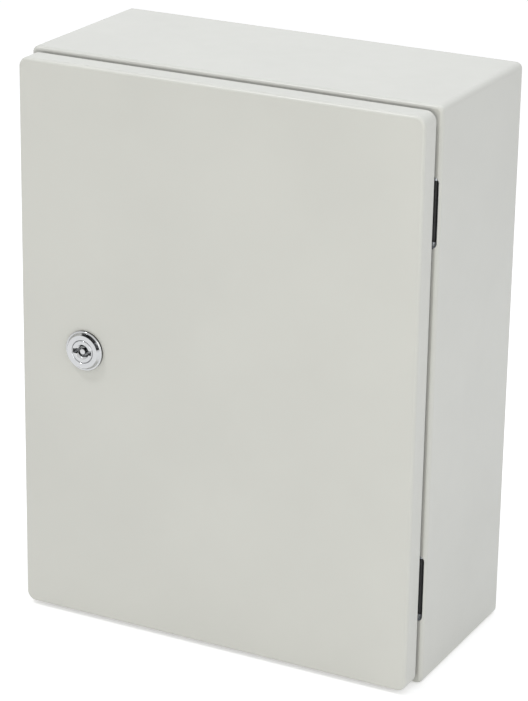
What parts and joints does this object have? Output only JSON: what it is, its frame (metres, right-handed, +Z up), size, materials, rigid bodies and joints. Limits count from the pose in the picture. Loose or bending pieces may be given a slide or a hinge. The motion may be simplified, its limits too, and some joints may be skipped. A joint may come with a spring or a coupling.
{
  "type": "steel wall enclosure",
  "caption": "Folded steel wall enclosure with a sealed door on concealed hinges, a quarter-turn double-bit lock, a mounting plate and a cable gland plate.",
  "frame": {"origin": "centre of the four wall-fixing holes, on the outer face of the back panel", "axes": "+Z up, +Y to the wall, so the door faces -Y and is hinged at +X"},
  "size_m": [0.3, 0.1542, 0.4],
  "materials": {
    "paint": "light grey powder coat, fine satin",
    "galvanised": "galvanised sheet",
    "zinc_plated": "bright zinc plate",
    "zinc_cast": "die-cast zinc, satin",
    "plain_steel": "plain weld stud",
    "chrome": "polished chrome plate",
    "black_steel": "black passivated steel, satin",
    "foam": "foamed polyurethane, matt",
    "rubber": "black rubber",
    "nylon": "natural nylon"
  },
  "bodies": {
    "enclosure": {"body_shell": "paint", "plate_studs": "plain_steel", "plate_spacers": "nylon", "mounting_plate": "galvanised", "plate_washers": "zinc_plated", "plate_nuts": "zinc_plated", "gland_studs": "plain_steel", "gland_gasket": "foam", "gland_plate": "paint", "gland_washers": "zinc_plated", "gland_nuts": "zinc_plated", "earth_stud": "plain_steel", "earth_washers": "zinc_plated", "earth_nut": "zinc_plated", "hinge_housing_upper": "zinc_cast", "hinge_housing_lower": "zinc_cast", "hinge_screws": "zinc_plated", "hinge_pin_upper": "plain_steel", "hinge_pin_lower": "plain_steel"},
    "door": {"door": "paint", "door_gasket": "foam", "hinge_arm_upper": "black_steel", "hinge_arm_lower": "black_steel", "hinge_arm_studs": "plain_steel", "hinge_arm_nuts": "zinc_plated", "door_earth_stud": "plain_steel", "door_earth_washers": "zinc_plated", "door_earth_nut": "zinc_plated", "lock_housing": "chrome", "lock_gasket": "rubber", "lock_washer": "plain_steel", "lock_nut": "zinc_plated"},
    "lock": {"lock_insert": "chrome", "lock_oring": "rubber", "lock_cam": "zinc_plated", "cam_washer": "zinc_plated", "cam_screw": "zinc_plated"}
  },
  "joints": [
    {"name": "door_swing", "type": "hinge", "parent": "enclosure", "child": "door", "pos_m": [0.1437, -0.1223, 0], "axis": [0, 0, 1], "range_deg": [0, 120]},
    {"name": "lock_turn", "type": "hinge", "parent": "door", "child": "lock", "pos_m": [-0.0975, -0.15, 0], "axis": [0, 1, 0], "range_deg": [0, 90]}
  ]
}
